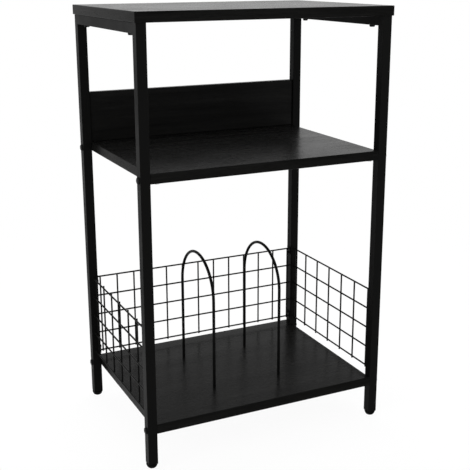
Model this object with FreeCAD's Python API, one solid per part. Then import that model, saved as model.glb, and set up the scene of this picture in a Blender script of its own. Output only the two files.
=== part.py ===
import FreeCAD, Part
import math
import os

# A record player stand: two welded leg frames of square tube carry a top panel and two shelves.
# The bottom tier has wire mesh on three sides and two arched dividers, and the feet screw out to level it.
# Millimetres. +X is right, +Y is to the back, +Z is up; the origin is on the floor below the middle.

# Overall sizes
frame_width = 600.0  # outer face to outer face of the legs
frame_depth = 425.0
stand_height = 994.0  # floor to the top of the top panel

# Square tube of the leg frames
tube_side = 22.0
tube_wall = 1.5
tube_corner = 1.2

# Boards
board_thickness = 22.0
panel_overhang = 3.0
edging_thickness = 2.0
edge_round = 1.6
corner_round = 0.8  # at the board's corners
bottom_shelf_height = 84.0  # floor to the underside
middle_shelf_height = 648.0
back_panel_height = 120.0
back_panel_thickness = 15.0
back_panel_setback = 2.5  # from the back faces of the legs
back_panel_clearance = 0.5  # at each end, to the legs

# Wire mesh of the bottom tier
mesh_wire = 4.0
mesh_rows = 5
mesh_row_pitch = 50.0
mesh_lift = 16.0  # shelf surface to the lowest wire
side_mesh_pitch = 60.0
back_mesh_pitch = 45.0
mesh_end_gap = 5.0  # least space between an end wire and what the mesh is fixed to
weld_sink = 0.3  # how far crossing wires melt into each other

# Lugs that hold the back mesh on the back legs
lug_thickness = 2.0
lug_width = 14.0
lug_margin = 5.0  # from the wire or the screw to the lug's end
lug_hole_offset = 11.0  # from the wire to the screw

# Arched dividers
hoop_rod = 7.0
hoop_spacing = 174.0  # from one divider to the other
hoop_span = 190.0  # between the centre lines of its two uprights
hoop_height = 314.0  # shelf surface to the top of the rod
hoop_stud = 6.0
stud_past_nut = 2.0
washer_diameter = 12.0
washer_thickness = 1.6
nut_width = 10.0
nut_height = 5.0
nut_chamfer = 0.5  # off the corners

# Bolts with a domed head, wide for the shelves and tall for the top panel
bolt_diameter = 6.0
bolt_rise = 8.0  # shelf underside to the bolts
bolt_head_diameter = 15.0
bolt_head_height = 3.6
bolt_head_round = 2.4
bolt_socket = 4.0
bolt_socket_depth = 2.0
panel_bolt_head_diameter = 12.5
panel_bolt_head_height = 5.0
panel_bolt_head_round = 2.2
panel_bolt_socket = 5.0
panel_bolt_socket_depth = 3.0
thread_chamfer = 0.8
barrel_diameter = 10.0
barrel_cover = 1.5  # barrel nut above the bolt
barrel_proud = 2.5  # barrel nut below the shelf
barrel_setback = 18.0  # from the end of the shelf
barrel_slot = 1.4
bolt_past_barrel = 3.0
panel_bolt_inset = 39.0  # from the leg, along the top rail
insert_diameter = 10.0
insert_length = 13.0
bolt_short_of_insert = 1.0

# Wood screws of the back panel
wood_screw_diameter = 4.0
wood_screw_head = 8.0
wood_screw_head_height = 2.4
wood_screw_grip = 30.0  # length in the back panel
wood_screw_pitch = 200.0
wood_screw_point = 4.0

# Self-tapping screws of the back mesh
mesh_screw_diameter = 3.5
mesh_screw_head = 7.0
mesh_screw_head_height = 2.4
mesh_screw_head_round = 1.2
mesh_screw_length = 10.0
mesh_screw_point = 3.0

# Blunt tips and cross recesses of the screws
screw_tip = 1.0
recess_width = 0.9
recess_length = 3.6
recess_depth = 1.3

# Feet and the plugs that they screw into
foot_height = 11.0
foot_diameter = 26.0
foot_waist = 24.0  # below the lip
foot_sole = 11.0
foot_lip = 2.0  # height of the widest part
foot_neck = 1.0  # lip to waist
foot_bulge = 1.7  # waist to sole, out from a straight cone
foot_top_round = 0.8
foot_stud = 8.0
foot_stud_length = 30.0  # above the foot
foot_stud_seat = 8.0  # depth in the foot
plug_flange = 2.0
plug_length = 26.0
foot_gap = 0.3  # foot to plug, screwed right in

# Clearances, on the diameter
bolt_clearance = 0.6
thread_clearance = 0.1
barrel_clearance = 0.2
plug_clearance = 0.2

# Holes
bolt_hole = bolt_diameter + bolt_clearance
bolt_thread = bolt_diameter + thread_clearance
barrel_hole = barrel_diameter + barrel_clearance
insert_hole = insert_diameter + barrel_clearance
hoop_hole = hoop_stud + bolt_clearance
hoop_thread = hoop_stud + thread_clearance
wood_screw_hole = wood_screw_diameter + thread_clearance
mesh_screw_hole = mesh_screw_diameter + thread_clearance
lug_hole = mesh_screw_diameter + bolt_clearance
foot_thread = foot_stud + thread_clearance
tube_bore = tube_side - 2 * tube_wall

# Heights
panel_underside = stand_height - board_thickness
plug_bottom = foot_height + foot_gap
leg_bottom = plug_bottom + plug_flange
bottom_shelf_top = bottom_shelf_height + board_thickness
middle_shelf_top = middle_shelf_height + board_thickness
mesh_heights = [bottom_shelf_top + mesh_lift + row * mesh_row_pitch for row in range(mesh_rows)]
lug_screw_heights = [mesh_heights[0] + lug_hole_offset, mesh_heights[-1] - lug_hole_offset]

# Places across and along
leg_x = (frame_width - tube_side) / 2
leg_y = (frame_depth - tube_side) / 2
inner_width = frame_width - 2 * tube_side
rail_length = frame_depth - 2 * tube_side
barrel_x = inner_width / 2 - barrel_setback
shelf_bolt_reach = barrel_setback + barrel_diameter / 2 + bolt_past_barrel
panel_bolt_y = rail_length / 2 - panel_bolt_inset
hoop_x = hoop_spacing / 2
hoop_radius = hoop_span / 2
back_panel_y = frame_depth / 2 - back_panel_setback - back_panel_thickness / 2
wood_screw_places = [-wood_screw_pitch, 0.0, wood_screw_pitch]

sides = {"left": -1, "right": 1}
ends = {"front": -1, "back": 1}
corners = [(f"{end}_{side}", sides[side] * leg_x, ends[end] * leg_y) for end in ends for side in sides]
shelves = {"middle_shelf": middle_shelf_height, "bottom_shelf": bottom_shelf_height}
past = 1.0  # how far a cutting shape runs past the face it opens
sliver = 0.01  # a length too small to matter
centre = FreeCAD.Vector(0, 0, 0)
right = FreeCAD.Vector(1, 0, 0)
up = FreeCAD.Vector(0, 0, 1)
nodes = {}


def vector(x, y, z):
    return FreeCAD.Vector(x, y, z)


def centred_box(width, depth, height, bottom=0.0):
    return Part.makeBox(width, depth, height, vector(-width / 2, -depth / 2, bottom))


def rod(diameter, start, axis, length):
    return Part.makeCylinder(diameter / 2, length, start, axis)


def through_hole(diameter, height):
    # Cuts a hole in something that stands on the ground plane about the Z axis.
    return rod(diameter, vector(0, 0, -past), up, height + 2 * past)


def aimed(shape, base, axis):
    # Turns a shape made along +Z to another axis and puts its origin at base.
    turned = shape.copy()
    turned.Placement = FreeCAD.Placement(base, FreeCAD.Rotation(up, axis))
    return turned


def hexagon(width, height):
    # A hexagonal prism on the ground plane, measured across its flats.
    radius = width / math.sqrt(3)
    turns = [k * math.pi / 3 for k in range(7)]
    points = [vector(radius * math.cos(turn), radius * math.sin(turn), 0) for turn in turns]
    return Part.Face(Part.makePolygon(points)).extrude(up * height)


def upright_edges(shape):
    return [edge for edge in shape.Edges if abs(edge.tangentAt(edge.FirstParameter).z) > 0.99]


def square_tube(length):
    outside = centred_box(tube_side, tube_side, length)
    outside = outside.makeFillet(tube_corner, upright_edges(outside))
    return outside.cut(centred_box(tube_bore, tube_bore, length + 2 * past, -past))


def edge_strip(length, thickness, to_corners):
    # One strip along X with its outer face at y = 0. The long edges of that face are rounded,
    # and then the rims of both ends where the strip runs to the board's corners.
    strip = Part.makeBox(length, edging_thickness, thickness, vector(-length / 2, 0, 0))
    radius = min(edge_round, 0.8 * edging_thickness)
    outer = [edge for edge in strip.Edges if edge.BoundBox.YMax < edging_thickness / 2]
    long_edges = [edge for edge in outer if abs(edge.tangentAt(edge.FirstParameter).x) > 0.99]
    strip = strip.makeFillet(radius, long_edges)
    if not to_corners:
        return strip
    at_ends = [edge for edge in strip.Edges if edge.BoundBox.XLength < corner_round / 2]
    rims = [edge for edge in at_ends if edge.CenterOfMass.y < edging_thickness - sliver]
    return strip.makeFillet(min(corner_round, 0.8 * radius), rims)


def edged_board(width, depth, thickness):
    # A board on the ground plane about the Z axis, with a strip glued on each of its four edges.
    core_width = width - 2 * edging_thickness
    core_depth = depth - 2 * edging_thickness
    pieces = [centred_box(core_width, core_depth, thickness)]
    for turn in range(4):
        to_corners = turn % 2 == 0
        along, across = (width, depth) if to_corners else (core_depth, width)
        strip = edge_strip(along, thickness, to_corners)
        strip.translate(vector(0, -across / 2, 0))
        strip.rotate(centre, up, 90 * turn)
        pieces.append(strip)
    return pieces


def cross_recess(head_height):
    along = centred_box(recess_length, recess_width, recess_depth, -head_height)
    across = centred_box(recess_width, recess_length, recess_depth, -head_height)
    return along.fuse(across)


def rounded_head(diameter, height, rounding):
    # Stands below the ground plane, with its outer rim rounded.
    head = rod(diameter, vector(0, 0, -height), up, height)
    rim = [edge for edge in head.Edges if edge.BoundBox.ZMax < -height / 2]
    return head.makeFillet(min(rounding, 0.8 * height), rim)


def chamfered_stud(diameter, bottom, top):
    shoulder = vector(0, 0, top - thread_chamfer)
    straight = rod(diameter, vector(0, 0, bottom), up, shoulder.z - bottom)
    tip = Part.makeCone(diameter / 2, diameter / 2 - thread_chamfer, thread_chamfer, shoulder)
    return straight.fuse(tip)


def socket_bolt(head, head_height, socket_width, socket_depth, length):
    # The head's underside is on the ground plane and the shank stands up from it.
    socket = hexagon(socket_width, socket_depth)
    socket.translate(vector(0, 0, -head_height))
    shank = chamfered_stud(bolt_diameter, 0, length)
    return head.cut(socket).fuse(shank).removeSplitter()


def pointed_shank(diameter, length, point):
    straight = rod(diameter, centre, up, length - point)
    return straight.fuse(Part.makeCone(diameter / 2, screw_tip / 2, point, vector(0, 0, length - point)))


def mesh_screw():
    head = rounded_head(mesh_screw_head, mesh_screw_head_height, mesh_screw_head_round)
    head = head.cut(cross_recess(mesh_screw_head_height))
    shank = pointed_shank(mesh_screw_diameter, mesh_screw_length, mesh_screw_point)
    return head.fuse(shank).removeSplitter()


def wood_screw(length):
    # A flat head that is flush with the ground plane, and a shank that stands up from it.
    head = Part.makeCone(wood_screw_head / 2, wood_screw_diameter / 2, wood_screw_head_height)
    shank = pointed_shank(wood_screw_diameter, length, wood_screw_point)
    return head.fuse(shank).cut(cross_recess(0)).removeSplitter()


def wood_screw_cut(length):
    # What the screw needs in a board: a cone for the head and a hole for the shank.
    mouth = (wood_screw_head + thread_clearance) / 2
    cone = Part.makeCone(mouth, wood_screw_hole / 2, wood_screw_head_height)
    return cone.fuse(rod(wood_screw_hole, centre, up, length))


def barrel_nut():
    # Stands on the ground plane, with a slot in its lower end and a cross hole for the bolt along X.
    cross_height = barrel_proud + bolt_rise
    barrel = rod(barrel_diameter, centre, up, cross_height + bolt_diameter / 2 + barrel_cover)
    slot = centred_box(2 * barrel_diameter, barrel_slot, 2 * barrel_slot, -barrel_slot)
    cross = rod(bolt_thread, vector(-barrel_diameter, 0, cross_height), right, 2 * barrel_diameter)
    return barrel.cut(slot).cut(cross)


def wire_mesh(length, pitch, inner):
    # Rows along X about the origin, with the uprights welded on the side that inner points to along Y.
    reach = length / 2 - mesh_end_gap - mesh_wire / 2
    count = int(reach // pitch)
    foot = mesh_heights[0] - mesh_wire / 2
    rise = mesh_heights[-1] - mesh_heights[0] + mesh_wire
    offset = inner * (mesh_wire - weld_sink)
    wires = [rod(mesh_wire, vector(-length / 2, 0, height), right, length) for height in mesh_heights]
    wires += [rod(mesh_wire, vector(k * pitch, offset, foot), up, rise) for k in range(-count, count + 1)]
    return wires[0].multiFuse(wires[1:])


def top_panel():
    pieces = edged_board(frame_width + 2 * panel_overhang, frame_depth + 2 * panel_overhang, board_thickness)
    for piece in pieces:
        piece.translate(up * panel_underside)
    panel = pieces[0]
    for x in (-leg_x, leg_x):
        for y in (-panel_bolt_y, panel_bolt_y):
            start = vector(x, y, panel_underside - past)
            panel = panel.cut(rod(insert_hole, start, up, insert_length + past))
    nodes["top_panel"] = [panel]
    nodes["top_panel_edging"] = pieces[1:]


def shelf_bolt_cuts(height):
    # A hole in each end of the shelf for every bolt, and one from below for its barrel nut.
    cuts = []
    for side in sides.values():
        for y in (-leg_y, leg_y):
            mouth = vector(side * (inner_width / 2 + past), y, height + bolt_rise)
            cuts.append(rod(bolt_hole, mouth, vector(-side, 0, 0), shelf_bolt_reach + bolt_clearance + past))
            foot = vector(side * barrel_x, y, height - past)
            cuts.append(rod(barrel_hole, foot, up, past + bolt_rise + bolt_diameter / 2 + barrel_cover))
    return cuts


def shelf_boards():
    for name, height in shelves.items():
        cuts = shelf_bolt_cuts(height)
        if name == "middle_shelf":
            screw_cut = wood_screw_cut(board_thickness + past)
            cuts += [aimed(screw_cut, vector(x, back_panel_y, height), up) for x in wood_screw_places]
        else:
            for x in (-hoop_x, hoop_x):
                for y in (-hoop_radius, hoop_radius):
                    cuts.append(aimed(through_hole(hoop_hole, board_thickness), vector(x, y, height), up))
        pieces = edged_board(inner_width, frame_depth, board_thickness)
        for piece in pieces:
            piece.translate(up * height)
        pieces = [piece.cut(Part.makeCompound(cuts)) for piece in pieces]
        nodes[name] = pieces[:1]
        nodes[name + "_edging"] = pieces[1:]


def back_panel():
    pieces = edged_board(inner_width - 2 * back_panel_clearance, back_panel_height, back_panel_thickness)
    back_face = back_panel_y + back_panel_thickness / 2
    for piece in pieces:
        piece.rotate(centre, right, 90)
        piece.translate(vector(0, back_face, middle_shelf_top + back_panel_height / 2))
    starts = [vector(x, back_panel_y, middle_shelf_top - past) for x in wood_screw_places]
    holes = [rod(wood_screw_hole, start, up, wood_screw_grip + 2 * past) for start in starts]
    pieces = [piece.cut(Part.makeCompound(holes)) for piece in pieces]
    nodes["back_panel"] = pieces[:1]
    nodes["back_panel_edging"] = pieces[1:]


def legs():
    for name, x, y in corners:
        leg = square_tube(panel_underside - leg_bottom)
        leg.translate(vector(x, y, leg_bottom))
        for height in shelves.values():
            start = vector(x - tube_side / 2 - past, y, height + bolt_rise)
            leg = leg.cut(rod(bolt_hole, start, right, tube_side + 2 * past))
        if y > 0:
            inward = vector(-math.copysign(1, x), 0, 0)
            for height in lug_screw_heights:
                leg = leg.cut(rod(mesh_screw_hole, vector(x, y, height), inward, tube_side))
        nodes["leg_" + name] = [leg]
        nodes["leg_plug_" + name] = [aimed(leg_plug(), vector(x, y, plug_bottom), up)]


def leg_plug():
    flange = centred_box(tube_side, tube_side, plug_flange)
    flange = flange.makeFillet(tube_corner, upright_edges(flange))
    body_side = tube_bore - plug_clearance
    body = centred_box(body_side, body_side, plug_length, plug_flange)
    return flange.fuse(body).cut(through_hole(foot_thread, plug_flange + plug_length))


def top_rails():
    for name, side in sides.items():
        rail = square_tube(rail_length)
        rail.rotate(centre, right, -90)
        rail.translate(vector(side * leg_x, -rail_length / 2, panel_underside - tube_side / 2))
        for y in (-panel_bolt_y, panel_bolt_y):
            start = vector(side * leg_x, y, panel_underside - tube_side)
            rail = rail.cut(aimed(through_hole(bolt_hole, tube_side), start, up))
        nodes["top_rail_" + name] = [rail]


def mesh_panels():
    for name, side in sides.items():
        mesh = wire_mesh(rail_length, side_mesh_pitch, side)
        mesh.rotate(centre, up, 90)
        mesh.translate(vector(side * leg_x, 0, 0))
        nodes["mesh_" + name] = mesh.Solids

    lug_height = lug_hole_offset + 2 * lug_margin
    lugs = []
    for side in sides.values():
        for wire, hole in ((mesh_heights[0], lug_screw_heights[0]), (mesh_heights[-1], lug_screw_heights[1])):
            plate = centred_box(lug_thickness, lug_width, lug_height, min(wire, hole) - lug_margin)
            plate.translate(vector(side * (inner_width - lug_thickness) / 2, 0, 0))
            start = vector(side * inner_width / 2, 0, hole)
            lugs.append(plate.cut(rod(lug_hole, start, vector(-side, 0, 0), 2 * lug_thickness)))
    mesh = wire_mesh(inner_width - lug_thickness, back_mesh_pitch, -1).multiFuse(lugs)
    mesh.translate(vector(0, leg_y, 0))
    nodes["mesh_back"] = mesh.Solids


def hex_nut():
    # Stands on the ground plane. A ball takes the corners off at both ends.
    corner_radius = nut_width / math.sqrt(3) - nut_chamfer
    ball = Part.makeSphere(math.hypot(corner_radius, nut_height / 2), vector(0, 0, nut_height / 2))
    return hexagon(nut_width, nut_height).common(ball).cut(through_hole(hoop_thread, nut_height))


def dividers():
    spring = bottom_shelf_top + hoop_height - hoop_rod / 2 - hoop_radius
    washer_bottom = bottom_shelf_height - washer_thickness
    nut_bottom = washer_bottom - nut_height
    stud_bottom = nut_bottom - stud_past_nut
    washer = rod(washer_diameter, centre, up, washer_thickness)
    washer = washer.cut(through_hole(hoop_thread, washer_thickness))
    nut = hex_nut()
    nodes["hoop_washers"] = []
    nodes["hoop_nuts"] = []
    for name, side in sides.items():
        x = side * hoop_x
        section = Part.Face(Part.Wire(Part.makeCircle(hoop_rod / 2, vector(x, -hoop_radius, spring), up)))
        hoop = section.revolve(vector(x, 0, spring), right, -180)
        for y in (-hoop_radius, hoop_radius):
            upright = rod(hoop_rod, vector(x, y, bottom_shelf_top), up, spring - bottom_shelf_top)
            stud = rod(hoop_stud, vector(x, y, stud_bottom), up, bottom_shelf_top - stud_bottom)
            hoop = hoop.fuse(upright).fuse(stud)
            nodes["hoop_washers"].append(aimed(washer, vector(x, y, washer_bottom), up))
            nodes["hoop_nuts"].append(aimed(nut, vector(x, y, nut_bottom), up))
        nodes["divider_hoop_" + name] = hoop.removeSplitter().Solids


def shelf_fasteners():
    head = rounded_head(bolt_head_diameter, bolt_head_height, bolt_head_round)
    length = tube_side + shelf_bolt_reach
    bolt = socket_bolt(head, bolt_head_height, bolt_socket, bolt_socket_depth, length)
    nut = barrel_nut()
    for name, height in shelves.items():
        bolts = nodes[name + "_bolts"] = []
        nuts = nodes[name + "_barrel_nuts"] = []
        for side in sides.values():
            for y in (-leg_y, leg_y):
                leg_face = vector(side * frame_width / 2, y, height + bolt_rise)
                bolts.append(aimed(bolt, leg_face, vector(-side, 0, 0)))
                nuts.append(aimed(nut, vector(side * barrel_x, y, height - barrel_proud), up))


def panel_fasteners():
    head = rounded_head(panel_bolt_head_diameter, panel_bolt_head_height, panel_bolt_head_round)
    length = tube_side + insert_length - bolt_short_of_insert
    bolt = socket_bolt(head, panel_bolt_head_height, panel_bolt_socket, panel_bolt_socket_depth, length)
    insert = rod(insert_diameter, centre, up, insert_length).cut(through_hole(bolt_thread, insert_length))
    places = [(x, y) for x in (-leg_x, leg_x) for y in (-panel_bolt_y, panel_bolt_y)]
    nodes["top_panel_bolts"] = [aimed(bolt, vector(x, y, panel_underside - tube_side), up) for x, y in places]
    nodes["top_panel_inserts"] = [aimed(insert, vector(x, y, panel_underside), up) for x, y in places]

    screw = wood_screw(board_thickness + wood_screw_grip)
    starts = [vector(x, back_panel_y, middle_shelf_height) for x in wood_screw_places]
    nodes["back_panel_screws"] = [aimed(screw, start, up) for start in starts]


def mesh_screws():
    head_x = inner_width / 2 - lug_thickness
    screws = nodes["mesh_screws"] = []
    for side in sides.values():
        for height in lug_screw_heights:
            screws.append(aimed(mesh_screw(), vector(side * head_x, leg_y, height), vector(side, 0, 0)))


def foot_pad():
    # A turned shape: flat sole, round shoulder, slightly wider lip under the leg.
    sole = foot_sole / 2
    waist = foot_waist / 2
    lip = foot_diameter / 2
    lip_height = foot_height - foot_lip
    corner = vector(sole, 0, 0)
    shoulder = vector(waist, 0, lip_height - foot_neck)
    outward = vector(shoulder.z, 0, sole - waist)
    outward.normalize()
    bulge = (corner + shoulder) * 0.5 + outward * foot_bulge
    outline = [shoulder, vector(lip, 0, lip_height), vector(lip, 0, foot_height - foot_top_round),
               vector(lip - foot_top_round, 0, foot_height), vector(0, 0, foot_height), centre, corner]
    edges = [Part.Arc(corner, bulge, shoulder).toShape()]
    edges += [Part.makeLine(start, end) for start, end in zip(outline, outline[1:])]
    pad = Part.makeSolid(Part.Face(Part.Wire(edges)).revolve(centre, up, 360))
    return pad.cut(rod(foot_thread, vector(0, 0, foot_height - foot_stud_seat), up, foot_stud_seat + past))


def feet():
    pad = foot_pad()
    stud = chamfered_stud(foot_stud, foot_height - foot_stud_seat, foot_height + foot_stud_length)
    for name, x, y in corners:
        nodes["foot_pad_" + name] = [aimed(pad, vector(x, y, 0), up)]
        nodes["foot_stud_" + name] = [aimed(stud, vector(x, y, 0), up)]


top_panel()
shelf_boards()
back_panel()
legs()
top_rails()
mesh_panels()
dividers()
shelf_fasteners()
panel_fasteners()
mesh_screws()
feet()

os.makedirs("parts", exist_ok=True)
for name, solids in nodes.items():
    shape = solids[0] if len(solids) == 1 else Part.makeCompound(solids)
    shape.exportStep(f"parts/{name}.step")
    state = "valid" if shape.isValid() else "not valid"
    print(name, len(shape.Solids), "solids", state, round(shape.Volume), "mm3")
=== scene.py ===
import math
import bpy
from mathutils import Matrix, Vector


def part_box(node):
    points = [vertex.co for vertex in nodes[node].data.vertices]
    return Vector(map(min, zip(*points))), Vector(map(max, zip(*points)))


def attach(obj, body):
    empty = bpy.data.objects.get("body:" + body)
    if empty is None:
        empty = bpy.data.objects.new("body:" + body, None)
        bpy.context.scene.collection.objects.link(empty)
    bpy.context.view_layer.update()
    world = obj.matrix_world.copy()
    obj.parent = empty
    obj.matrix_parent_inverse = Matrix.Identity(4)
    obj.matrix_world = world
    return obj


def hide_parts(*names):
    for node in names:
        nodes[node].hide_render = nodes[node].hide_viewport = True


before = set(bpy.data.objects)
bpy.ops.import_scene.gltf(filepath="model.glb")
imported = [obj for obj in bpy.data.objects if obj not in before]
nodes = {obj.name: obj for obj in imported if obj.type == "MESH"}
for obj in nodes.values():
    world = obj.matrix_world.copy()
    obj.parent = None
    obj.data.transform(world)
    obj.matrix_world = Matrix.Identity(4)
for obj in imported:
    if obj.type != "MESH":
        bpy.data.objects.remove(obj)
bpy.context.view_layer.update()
bpy.ops.object.select_all(action="DESELECT")  # the nodes come in selected
print("frame loaded:", len(nodes), "nodes")


# shader tree helpers

usualSpan = (0.35, 0.65)  # most values of a noise lie between these
wideSpan = (0.3, 0.7)


def newFinish(name, base, roughness, ior, metallic=0.0):
    finish = bpy.data.materials.new(name)
    finish.use_nodes = True
    shader = finish.node_tree.nodes["Principled BSDF"]
    shader.inputs["Base Color"].default_value = (*base, 1)
    shader.inputs["Roughness"].default_value = roughness
    shader.inputs["IOR"].default_value = ior
    shader.inputs["Metallic"].default_value = metallic
    return finish, finish.node_tree, shader


def objectPoint(tree):
    return tree.nodes.new("ShaderNodeTexCoord").outputs["Object"]


def surface(tree, output):
    return tree.nodes.new("ShaderNodeNewGeometry").outputs[output]


def stretched(tree, point, scale):
    mapping = tree.nodes.new("ShaderNodeMapping")
    mapping.inputs["Scale"].default_value = scale
    tree.links.new(point, mapping.inputs["Vector"])
    return mapping.outputs["Vector"]


def noise(tree, point, scale, detail, rough):
    # a scale is per metre, or one for each axis
    if isinstance(scale, tuple):
        point, scale = stretched(tree, point, scale), 1.0
    texture = tree.nodes.new("ShaderNodeTexNoise")
    texture.inputs["Scale"].default_value = scale
    texture.inputs["Detail"].default_value = detail
    texture.inputs["Roughness"].default_value = rough
    tree.links.new(point, texture.inputs["Vector"])
    return texture.outputs["Fac"]


def span(tree, value, low, high, toLow=0.0, toHigh=1.0):
    ramp = tree.nodes.new("ShaderNodeMapRange")
    ramp.inputs["From Min"].default_value = low
    ramp.inputs["From Max"].default_value = high
    ramp.inputs["To Min"].default_value = toLow
    ramp.inputs["To Max"].default_value = toHigh
    tree.links.new(value, ramp.inputs["Value"])
    return ramp.outputs["Result"]


def maths(tree, operation, first, second=0.0):
    node = tree.nodes.new("ShaderNodeMath")
    node.operation = operation
    for socket, value in zip(node.inputs, (first, second)):
        if isinstance(value, (int, float)):
            socket.default_value = value
        else:
            tree.links.new(value, socket)
    return node.outputs["Value"]


def added(tree, first, second, share=1.0):
    return maths(tree, "ADD", first, maths(tree, "MULTIPLY", second, share))


def split(tree, point):
    parts = tree.nodes.new("ShaderNodeSeparateXYZ")
    tree.links.new(point, parts.inputs[0])
    return parts.outputs


def blended(tree, factor, first, second, kind="Color"):
    node = tree.nodes.new("ShaderNodeMix")
    node.data_type = "RGBA" if kind == "Color" else "VECTOR"
    sockets = {socket.identifier: socket for socket in node.inputs}
    tree.links.new(factor, sockets["Factor_Float"])
    for name, value in (("A_" + kind, first), ("B_" + kind, second)):
        if isinstance(value, tuple):
            sockets[name].default_value = (*value, 1)
        else:
            tree.links.new(value, sockets[name])
    return next(socket for socket in node.outputs if socket.identifier == "Result_" + kind)


def dress(tree, shader, colour, rough, height, depth, strength):
    bump = tree.nodes.new("ShaderNodeBump")
    bump.inputs["Distance"].default_value = depth
    bump.inputs["Strength"].default_value = strength
    tree.links.new(height, bump.inputs["Height"])
    tree.links.new(colour, shader.inputs["Base Color"])
    tree.links.new(rough, shader.inputs["Roughness"])
    tree.links.new(bump.outputs["Normal"], shader.inputs["Normal"])


# black wood-grain laminate of the boards, and the strips on their edges

laminate = {
    "dark": (0.0032, 0.0032, 0.0031),
    "light": (0.0122, 0.0121, 0.0115),
    "poreColour": (0.0022, 0.0022, 0.0021),
    "ior": 1.11,
    "edgingIor": 1.07,
    "roughness": (0.19, 0.24),
    "streakRoughness": 0.08,  # how much rougher the darkest grain lines are
    "poreRoughness": 0.10,
    "sideways": 0.5,  # an edging face that leans further to X has its grain along Y
    "wander": 0.006,  # how far the grain lines stray, in metres
    # noise scales are along and across the grain
    "waver": {"scale": (3.0, 9.0, 9.0), "detail": 2.0, "rough": 0.5},
    "bands": {"scale": (1.6, 42.0, 42.0), "detail": 3.0, "rough": 0.55},
    "streaks": {"scale": (9.0, 420.0, 420.0), "detail": 3.0, "rough": 0.6},
    "pores": {"scale": (55.0, 1500.0, 1500.0), "detail": 1.0, "rough": 0.4},
    "smears": {"scale": 7.0, "detail": 3.0, "rough": 0.6},
    "bandShare": 0.55,  # of the tone, the rest is streaks
    "toneSpan": (0.34, 0.66),
    "poreSpan": (0.60, 0.72),
    "poreDepth": 0.00012,
    "streakRelief": 0.35,
    "bump": 0.35,
}


def grainPoint(tree, turned):
    # along the grain on the first axis; strips on the left and right edges run along Y
    point = objectPoint(tree)
    if not turned:
        return point
    parts = split(tree, point)
    swapped = tree.nodes.new("ShaderNodeCombineXYZ")
    for source, target in ("YX", "XY", "ZZ"):
        tree.links.new(parts[source], swapped.inputs[target])
    facing = split(tree, surface(tree, "True Normal"))
    sideways = maths(tree, "GREATER_THAN", maths(tree, "ABSOLUTE", facing["X"]), laminate["sideways"])
    return blended(tree, sideways, point, swapped.outputs["Vector"], "Vector")


def waveringPoint(tree, point):
    drift = noise(tree, point, **laminate["waver"])
    drift = span(tree, drift, *wideSpan, -laminate["wander"], laminate["wander"])
    shift = tree.nodes.new("ShaderNodeCombineXYZ")
    moved = tree.nodes.new("ShaderNodeVectorMath")
    tree.links.new(drift, shift.inputs["Y"])
    tree.links.new(drift, shift.inputs["Z"])
    tree.links.new(point, moved.inputs[0])
    tree.links.new(shift.outputs["Vector"], moved.inputs[1])
    return moved.outputs["Vector"]


def laminateFinish(name, ior, turned=False):
    low, high = laminate["roughness"]
    finish, tree, shader = newFinish(name, laminate["light"], high, ior)
    point = grainPoint(tree, turned)
    wavy = waveringPoint(tree, point)
    bands = noise(tree, wavy, **laminate["bands"])
    streaks = noise(tree, wavy, **laminate["streaks"])
    pore = span(tree, noise(tree, wavy, **laminate["pores"]), *laminate["poreSpan"])
    share = laminate["bandShare"]
    tone = added(tree, maths(tree, "MULTIPLY", bands, share), streaks, 1 - share)
    tone = span(tree, tone, *laminate["toneSpan"])
    colour = blended(tree, tone, laminate["dark"], laminate["light"])
    colour = blended(tree, pore, colour, laminate["poreColour"])
    rough = span(tree, noise(tree, point, **laminate["smears"]), *usualSpan, low, high)
    rough = maths(tree, "ADD", rough, span(tree, tone, 1.0, 0.0, 0.0, laminate["streakRoughness"]))
    rough = added(tree, rough, pore, laminate["poreRoughness"])
    relief = maths(tree, "SUBTRACT", maths(tree, "MULTIPLY", streaks, laminate["streakRelief"]), pore)
    dress(tree, shader, colour, rough, relief, laminate["poreDepth"], laminate["bump"])
    return finish


# baked powder coat of the tube frames, and the smoother coat of the wires and rods

coat = {
    "colour": (0.0050, 0.0050, 0.0049),
    "paler": (0.0080, 0.0080, 0.0077),
    "rubbed": (0.018, 0.018, 0.017),
    "ior": 1.085,
    "roughness": (0.34, 0.46),
    "rubbedGloss": -0.08,  # added to the roughness on rubbed corners
    "wire": {"gloss": 0.06, "grain": 0.5},  # taken off the roughness, and the grain's share
    "rod": {"gloss": 0.08, "grain": 0.5},
    "peel": {"scale": 440.0, "detail": 2.0, "rough": 0.5},
    "specks": {"scale": 2420.0, "detail": 1.0, "rough": 0.5},
    "smears": {"scale": 9.0, "detail": 3.0, "rough": 0.6},
    "rubs": {"scale": 60.0, "detail": 3.0, "rough": 0.6},
    "speckSpan": (0.42, 0.72),
    "rubSpan": (0.45, 0.65),
    "edgeWidth": 0.0012,
    "edgeSamples": 4,
    "edgeTurn": (0.995, 0.93),  # cosines between the face and its rounded normal
    "grainDepth": 0.00006,
    "speckRelief": 0.4,
    "bump": 0.3,
}


def edgeMask(tree):
    rounded = tree.nodes.new("ShaderNodeBevel")
    rounded.samples = coat["edgeSamples"]
    rounded.inputs["Radius"].default_value = coat["edgeWidth"]
    turn = tree.nodes.new("ShaderNodeVectorMath")
    turn.operation = "DOT_PRODUCT"
    tree.links.new(rounded.outputs["Normal"], turn.inputs[0])
    tree.links.new(surface(tree, "True Normal"), turn.inputs[1])
    return span(tree, turn.outputs["Value"], *coat["edgeTurn"])


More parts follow.
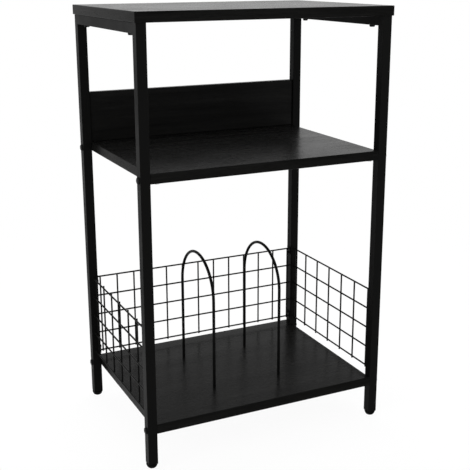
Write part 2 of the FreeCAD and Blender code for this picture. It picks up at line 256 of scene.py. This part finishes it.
def coatFinish(name, gloss=0.0, grain=1.0):
    low, high = coat["roughness"]
    finish, tree, shader = newFinish(name, coat["colour"], high, coat["ior"])
    point = objectPoint(tree)
    peel = noise(tree, point, **coat["peel"])
    speck = noise(tree, point, **coat["specks"])
    rubs = span(tree, noise(tree, point, **coat["rubs"]), *coat["rubSpan"])
    rubbed = maths(tree, "MULTIPLY", edgeMask(tree), rubs)
    colour = blended(tree, span(tree, speck, *coat["speckSpan"]), coat["colour"], coat["paler"])
    colour = blended(tree, rubbed, colour, coat["rubbed"])
    smears = noise(tree, point, **coat["smears"])
    rough = span(tree, smears, *usualSpan, low - gloss, high - gloss)
    rough = added(tree, rough, rubbed, coat["rubbedGloss"])
    relief = added(tree, peel, speck, coat["speckRelief"])
    dress(tree, shader, colour, rough, relief, coat["grainDepth"] * grain, coat["bump"])
    return finish


# bolts and screws in black oxide, and zinc-plated hardware

metal = {
    "oxide": {"main": (0.006, 0.006, 0.006), "second": (0.014, 0.014, 0.014),
              "roughness": 0.38, "ior": 1.13, "metallic": 0.0},
    "zinc": {"main": (0.56, 0.57, 0.58), "second": (0.50, 0.47, 0.40),
             "roughness": 0.29, "ior": 1.5, "metallic": 1.0},
    "stains": {"scale": 160.0, "detail": 3.0, "rough": 0.6},
    "stainSpan": (0.45, 0.70),
    "stainRoughness": (-0.06, 0.08),
    "scratches": {"scale": (2600.0, 320.0, 2600.0), "detail": 2.0, "rough": 0.6},
    "scratchRoughness": 0.08,
    "scratchDepth": 0.00003,
    "bump": 0.35,
}


def metalFinish(name, plating):
    main, second, roughness = plating["main"], plating["second"], plating["roughness"]
    finish, tree, shader = newFinish(name, main, roughness, plating["ior"], plating["metallic"])
    point = objectPoint(tree)
    stain = noise(tree, point, **metal["stains"])
    scratch = noise(tree, point, **metal["scratches"])
    colour = blended(tree, span(tree, stain, *metal["stainSpan"]), main, second)
    low, high = metal["stainRoughness"]
    rough = span(tree, stain, *wideSpan, roughness + low, roughness + high)
    rough = added(tree, rough, scratch, metal["scratchRoughness"])
    dress(tree, shader, colour, rough, scratch, metal["scratchDepth"], metal["bump"])
    return finish


# moulded plastic of the feet and the leg plugs

plastic = {
    "colour": (0.0036, 0.0036, 0.0035),
    "paler": (0.0060, 0.0060, 0.0059),
    "scuffed": (0.013, 0.0127, 0.0124),
    "ior": 1.09,
    "roughness": (0.42, 0.52),
    "scuffRoughness": 0.2,
    "spark": {"scale": 2300.0, "detail": 2.0, "rough": 0.55},
    "smears": {"scale": 45.0, "detail": 3.0, "rough": 0.6},
    "scuffs": {"scale": (420.0, 420.0, 1500.0), "detail": 3.0, "rough": 0.65},
    "smearSpan": (0.4, 0.7),
    "scuffSpan": (0.45, 0.62),
    "soleHeight": 0.0035,  # scuffs reach this high above the floor
    "sparkDepth": 0.00004,
    "bump": 0.3,
}


def plasticFinish(name, scuffed):
    low, high = plastic["roughness"]
    finish, tree, shader = newFinish(name, plastic["colour"], high, plastic["ior"])
    point = objectPoint(tree)
    spark = noise(tree, point, **plastic["spark"])
    smears = noise(tree, point, **plastic["smears"])
    rough = span(tree, smears, *usualSpan, low, high)
    if scuffed:
        near = span(tree, split(tree, point)["Z"], plastic["soleHeight"], 0.0)
        marks = noise(tree, point, **plastic["scuffs"])
        worn = maths(tree, "MULTIPLY", near, span(tree, marks, *plastic["scuffSpan"]))
        colour = blended(tree, worn, plastic["colour"], plastic["scuffed"])
        rough = added(tree, rough, worn, plastic["scuffRoughness"])
    else:
        smeared = span(tree, smears, *plastic["smearSpan"])
        colour = blended(tree, smeared, plastic["colour"], plastic["paler"])
    dress(tree, shader, colour, rough, spark, plastic["sparkDepth"], plastic["bump"])
    return finish


finishes = {
    "board_face": laminateFinish("board_face_laminate", laminate["ior"]),
    "board_edging": laminateFinish("board_edging_laminate", laminate["edgingIor"], turned=True),
    "frame_steel": coatFinish("frame_powder_coat"),
    "mesh_wire": coatFinish("mesh_wire_coat", **coat["wire"]),
    "divider_rod": coatFinish("divider_rod_coat", **coat["rod"]),
    "black_fastener": metalFinish("fastener_black_oxide", metal["oxide"]),
    "bright_fastener": metalFinish("fastener_zinc", metal["zinc"]),
    "foot_stud_steel": metalFinish("foot_stud_zinc", metal["zinc"]),
    "foot_plastic": plasticFinish("foot_moulded_plastic", scuffed=True),
    "plug_plastic": plasticFinish("plug_moulded_plastic", scuffed=False),
}
for node in nodes.values():
    for place in node.material_slots:
        place.material = finishes[place.material.name]
print("finishes given:", len(finishes))


# modelling helpers: what repeats is modelled once on the origin and copied to its places

def editAll():
    bpy.ops.object.mode_set(mode="EDIT")
    bpy.ops.mesh.select_all(action="SELECT")


def closeUp():
    # outward normals, then the place goes into the mesh
    editAll()
    bpy.ops.mesh.normals_make_consistent(inside=False)
    bpy.ops.object.mode_set(mode="OBJECT")
    bpy.ops.object.transform_apply(location=True, rotation=True, scale=True)


def pick(pieces):
    bpy.ops.object.select_all(action="DESELECT")
    for piece in pieces:
        piece.select_set(True)
    bpy.context.view_layer.objects.active = pieces[0]


def copied(pattern, place, size=(1, 1, 1), turn=0.0):
    # with its own mesh, stretched and turned about Z on the way
    pick([pattern])
    bpy.ops.object.duplicate(linked=False)
    piece = bpy.context.object
    piece.location = place
    piece.scale = size
    piece.rotation_euler = (0, 0, turn)
    bpy.ops.object.transform_apply(location=True, rotation=True, scale=True)
    return piece


def discard(pattern):
    pick([pattern])
    bpy.ops.object.delete()


def joined(pieces):
    pick(pieces)
    bpy.ops.object.join()
    return bpy.context.object


def settle(piece, name, slot, body):
    piece.name = piece.data.name = name
    piece.data.materials.clear()
    piece.data.materials.append(finishes[slot])
    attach(piece, body)
    bpy.ops.object.select_all(action="DESELECT")


def wobble(index, amount):
    # a factor near 1, the same each run, that makes the copies uneven
    steps = (-1, 0, 1, -0.5, 0.5)
    return 1 + amount * steps[index % len(steps)]


sides = ("left", "right")
ends = ("front", "back")
corners = [f"{end}_{side}" for end in ends for side in sides]


# threaded studs of the levelling feet

stud = {
    "crest": 0.0079,  # outer diameter of the thread
    "root": 0.00665,
    "pitch": 0.00125,
    "crestFlat": 0.00016,
    "rootFlat": 0.0003,
    "sides": 24,
    "spareTurns": 2,  # cut off again below the foot and above the tip
    "tip": 0.0008,  # height of the lead-in at the top
    "tipShare": 0.8,  # its width at the very top
    "mergeWithin": 1e-6,
    "cutWithin": 1e-8,
    "smooth": 0.6,  # radians
}


def threadOutline():
    # one turn, drawn upwards from the root
    bpy.ops.mesh.primitive_plane_add(size=stud["pitch"], location=(0, 0, -stud["pitch"]))
    editAll()
    bpy.ops.mesh.merge(type="CENTER")
    bpy.ops.transform.translate(value=(stud["root"] / 2, 0, 0))
    depth = (stud["crest"] - stud["root"]) / 2
    flank = (stud["pitch"] - stud["crestFlat"] - stud["rootFlat"]) / 2
    steps = ((depth, 0, flank), (0, 0, stud["crestFlat"]), (-depth, 0, flank), (0, 0, stud["rootFlat"]))
    for step in steps:
        bpy.ops.mesh.extrude_vertices_move(TRANSFORM_OT_translate={"value": step})
    bpy.ops.object.mode_set(mode="OBJECT")
    return bpy.context.object


def threadedStud(length):
    piece = threadOutline()
    screw = piece.modifiers.new("thread", "SCREW")
    screw.axis = "Z"
    screw.angle = 2 * math.pi
    screw.screw_offset = stud["pitch"]
    screw.iterations = math.ceil(length / stud["pitch"]) + stud["spareTurns"]
    screw.steps = screw.render_steps = stud["sides"]
    bpy.ops.object.modifier_apply(modifier="thread")
    editAll()
    bpy.ops.mesh.remove_doubles(threshold=stud["mergeWithin"])
    for height, side in ((0, -1), (length - stud["tip"], 1)):
        bpy.ops.mesh.select_all(action="SELECT")
        bpy.ops.mesh.bisect(plane_co=(0, 0, height), plane_no=(0, 0, side), use_fill=True,
                            clear_outer=True, threshold=stud["cutWithin"])
    bpy.ops.mesh.extrude_region_move(TRANSFORM_OT_translate={"value": (0, 0, stud["tip"])})
    share = stud["tipShare"]
    bpy.ops.transform.resize(value=(share, share, 1), center_override=(0, 0, length))
    bpy.ops.object.mode_set(mode="OBJECT")
    closeUp()
    bpy.ops.object.shade_smooth_by_angle(angle=stud["smooth"])
    return piece


def setStuds():
    lowest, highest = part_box("foot_stud_" + corners[0])
    pattern = threadedStud(highest[2] - lowest[2])
    for corner in corners:
        lowest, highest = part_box("foot_stud_" + corner)
        foot = ((lowest[0] + highest[0]) / 2, (lowest[1] + highest[1]) / 2, lowest[2])
        piece = copied(pattern, foot)
        settle(piece, "threaded_stud_" + corner, "foot_stud_steel", "foot_" + corner)
        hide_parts("foot_stud_" + corner)
    discard(pattern)


setStuds()
print("threaded studs:", len(corners))


# weld beads under the top rails, where they meet the legs

bead = {
    "radius": 0.0023,
    "margin": 0.0018,  # from the tube's edge to the bead's end
    "ripple": 0.0013,  # from one ripple to the next
    "flatness": 0.55,  # of a ripple along the seam
    "segments": 16,
    "rings": 10,
    "uneven": 0.06,
    "skin": 0.00028,  # grain of the skin drawn over the ripples
    "softening": 2,
}


def ripple():
    bpy.ops.mesh.primitive_uv_sphere_add(segments=bead["segments"], ring_count=bead["rings"],
                                         radius=bead["radius"])
    editAll()
    bpy.ops.transform.resize(value=(bead["flatness"], 1, 1), center_override=(0, 0, 0))
    bpy.ops.object.mode_set(mode="OBJECT")
    return bpy.context.object


def weldBead(tube):
    # along X, across a tube of this width that starts at the origin
    length = tube - 2 * bead["margin"]
    count = round(length / bead["ripple"])
    pattern = ripple()
    ripples = []
    for index in range(count):
        x = bead["margin"] + (index + 0.5) * length / count
        size = wobble(index, bead["uneven"])
        ripples.append(copied(pattern, (x, 0, 0), (size, size, size)))
    discard(pattern)
    piece = joined(ripples)
    skin = piece.modifiers.new("skin", "REMESH")
    skin.mode = "VOXEL"
    skin.voxel_size = bead["skin"]
    soft = piece.modifiers.new("soft", "SMOOTH")
    soft.iterations = bead["softening"]
    for name in ("skin", "soft"):
        bpy.ops.object.modifier_apply(modifier=name)
    closeUp()
    bpy.ops.object.shade_smooth()
    return piece


def setBeads():
    lowest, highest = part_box("top_rail_" + sides[0])
    pattern = weldBead(highest[0] - lowest[0])
    for side in sides:
        lowest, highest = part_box("top_rail_" + side)
        for end, y in zip(ends, (lowest[1], highest[1])):
            piece = copied(pattern, (lowest[0], y, lowest[2]))
            settle(piece, f"weld_bead_{end}_{side}", "frame_steel", "stand")
    discard(pattern)


setBeads()
print("weld beads:", len(sides) * len(ends))


# collars of weld where the rows of the side meshes meet the legs

collar = {
    "rows": 5,
    "wire": 0.002,  # radius
    "sides": 16,
    # how much wider than the wire, and how far from the leg
    "flare": [(0.0015, -0.0002), (0.0012, 0.0004), (0.0006, 0.0011), (0.0002, 0.0020), (-0.00012, 0.0032)],
    "unevenWidth": 0.05,
    "unevenReach": 0.12,
    "smooth": 0.7,  # radians
}


def weldCollar():
    # drawn along +Y, ring by ring
    rings = [(collar["wire"] + flare, away) for flare, away in collar["flare"]]
    radius, away = rings[0]
    bpy.ops.mesh.primitive_circle_add(vertices=collar["sides"], radius=radius, fill_type="NGON",
                                      location=(0, away, 0), rotation=(math.pi / 2, 0, 0))
    editAll()
    for (radius, away), (nextRadius, nextAway) in zip(rings, rings[1:]):
        bpy.ops.mesh.extrude_region_move(TRANSFORM_OT_translate={"value": (0, nextAway - away, 0)})
        share = nextRadius / radius
        bpy.ops.transform.resize(value=(share, 1, share), center_override=(0, 0, 0))
    bpy.ops.object.mode_set(mode="OBJECT")
    closeUp()
    bpy.ops.object.shade_smooth_by_angle(angle=collar["smooth"])
    return bpy.context.object


def meshWelds(pattern, side):
    lowest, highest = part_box("mesh_" + side)
    front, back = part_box("leg_front_" + side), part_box("leg_back_" + side)
    x = (front[0][0] + front[1][0]) / 2
    low, high = lowest[2] + collar["wire"], highest[2] - collar["wire"]
    collars = []
    for row in range(collar["rows"]):
        z = low + (high - low) * row / (collar["rows"] - 1)
        for y, turn in ((front[1][1], 0.0), (back[0][1], math.pi)):
            wide = wobble(len(collars), collar["unevenWidth"])
            reach = wobble(len(collars) + 2, collar["unevenReach"])  # out of step with the width
            collars.append(copied(pattern, (x, y, z), (wide, reach, wide), turn))
    return joined(collars)


def setCollars():
    pattern = weldCollar()
    for side in sides:
        settle(meshWelds(pattern, side), "mesh_welds_" + side, "mesh_wire", "stand")
    discard(pattern)


setCollars()
print("mesh welds:", len(sides))


# camera where the photograph was taken from

photoView = {
    "place": (-0.9027, -1.9115, 1.0702),
    "turn": 0.4440,  # to the right of +Y, all three in radians
    "tilt": -0.2648,
    "roll": -0.0035,
    "focalPixels": 906.6,
    "axisPixel": (232, 216),  # where the lens axis meets the picture
    "picture": 470,  # pixels a side
    "sensor": 36.0,  # millimetres
}


def setCamera(view):
    turn, tilt, roll = view["turn"], view["tilt"], view["roll"]
    ahead = Vector((math.sin(turn) * math.cos(tilt), math.cos(turn) * math.cos(tilt), math.sin(tilt)))
    level = Vector((math.cos(turn), -math.sin(turn), 0))
    above = level.cross(ahead)
    right = math.cos(roll) * level + math.sin(roll) * above
    up = -math.sin(roll) * level + math.cos(roll) * above
    bpy.ops.object.camera_add()
    camera = bpy.context.object
    camera.name = "photo_camera"
    turned = Matrix((right, up, -ahead)).transposed().to_4x4()
    camera.matrix_world = Matrix.Translation(view["place"]) @ turned
    lens = camera.data
    lens.sensor_width = view["sensor"]
    lens.lens = view["focalPixels"] / view["picture"] * view["sensor"]
    lens.shift_x = 0.5 - view["axisPixel"][0] / view["picture"]
    lens.shift_y = view["axisPixel"][1] / view["picture"] - 0.5
    bpy.context.scene.camera = camera


setCamera(photoView)
print("camera set")


# white surround, pale floor and three soft lamps

studio = {
    "ambient": 0.45,
    "floorColour": (0.86, 0.86, 0.86),
    "floorGlow": 0.36,  # added for the camera alone, so that the unshaded floor is white
    "floorRadius": 9.0,
    "floorSides": 96,
    "floorRoughness": 0.9,
    "floorIor": 1.45,
    "shadowKept": 0.08,  # share of the floor's own shading that shows near the stand
    "shadowReach": (0.7, 1.9),  # metres from the middle over which it fades
    "lamps": [
        {"name": "lamp_left", "place": (-2.6, -0.9, 2.1), "aim": (0, 0, 0.5), "size": 2.2, "watts": 30},
        {"name": "lamp_over", "place": (0.5, 1.2, 3.0), "aim": (0, 0, 0.5), "size": 2.4, "watts": 45},
        {"name": "lamp_front", "place": (1.9, -2.6, 1.7), "aim": (0, 0, 0.5), "size": 2.0, "watts": 16},
    ],
}


def seenRay(tree):
    # straight from the camera, or by way of gloss and glass
    path = tree.nodes.new("ShaderNodeLightPath")
    seen = maths(tree, "MAXIMUM", path.outputs["Is Glossy Ray"], path.outputs["Is Transmission Ray"])
    return path.outputs["Is Camera Ray"], seen


def makeSurround():
    world = bpy.data.worlds.new("white_surround")
    bpy.context.scene.world = world
    world.use_nodes = True
    tree = world.node_tree
    tree.nodes.clear()
    cameraRay, otherRay = seenRay(tree)
    ambient = tree.nodes.new("ShaderNodeBackground")
    ambient.inputs["Strength"].default_value = studio["ambient"]
    white = tree.nodes.new("ShaderNodeBackground")
    for light in (ambient, white):
        light.inputs["Color"].default_value = (1, 1, 1, 1)
    mixed = tree.nodes.new("ShaderNodeMixShader")
    tree.links.new(maths(tree, "MAXIMUM", cameraRay, otherRay), mixed.inputs[0])
    tree.links.new(ambient.outputs[0], mixed.inputs[1])
    tree.links.new(white.outputs[0], mixed.inputs[2])
    tree.links.new(mixed.outputs[0], tree.nodes.new("ShaderNodeOutputWorld").inputs["Surface"])


def makeFloor():
    bpy.ops.mesh.primitive_circle_add(vertices=studio["floorSides"], radius=studio["floorRadius"],
                                      fill_type="NGON")
    floor = bpy.context.object
    floor.name = "pale_floor"
    finish, tree, shader = newFinish("pale_floor", studio["floorColour"], studio["floorRoughness"],
                                     studio["floorIor"])
    shader.inputs["Specular IOR Level"].default_value = 0.0  # no shine
    distance = tree.nodes.new("ShaderNodeVectorMath")
    distance.operation = "LENGTH"
    tree.links.new(objectPoint(tree), distance.inputs[0])
    near, far = studio["shadowReach"]
    whiter = span(tree, distance.outputs["Value"], near, far, 1 - studio["shadowKept"], 1.0)
    cameraRay, otherRay = seenRay(tree)
    shader.inputs["Emission Color"].default_value = (1, 1, 1, 1)
    glow = maths(tree, "MULTIPLY", cameraRay, studio["floorGlow"])
    tree.links.new(glow, shader.inputs["Emission Strength"])
    finish.cycles.emission_sampling = "NONE"
    # the white surround shows through, and from below the floor is clear
    share = maths(tree, "MAXIMUM", maths(tree, "MULTIPLY", cameraRay, whiter), otherRay)
    share = maths(tree, "MAXIMUM", share, surface(tree, "Backfacing"))
    mixed = tree.nodes.new("ShaderNodeMixShader")
    tree.links.new(share, mixed.inputs[0])
    tree.links.new(shader.outputs[0], mixed.inputs[1])
    tree.links.new(tree.nodes.new("ShaderNodeBsdfTransparent").outputs[0], mixed.inputs[2])
    tree.links.new(mixed.outputs[0], tree.nodes["Material Output"].inputs["Surface"])
    floor.data.materials.append(finish)


def hangLamp(lamp):
    bpy.ops.object.light_add(type="AREA", location=lamp["place"])
    light = bpy.context.object
    light.name = lamp["name"]
    light.data.size = lamp["size"]
    light.data.energy = lamp["watts"]
    light.rotation_euler = (Vector(lamp["aim"]) - light.location).to_track_quat("-Z", "Y").to_euler()


makeSurround()
makeFloor()
for lamp in studio["lamps"]:
    hangLamp(lamp)
bpy.context.scene.view_settings.view_transform = "Standard"
print("studio set:", len(studio["lamps"]), "lamps")
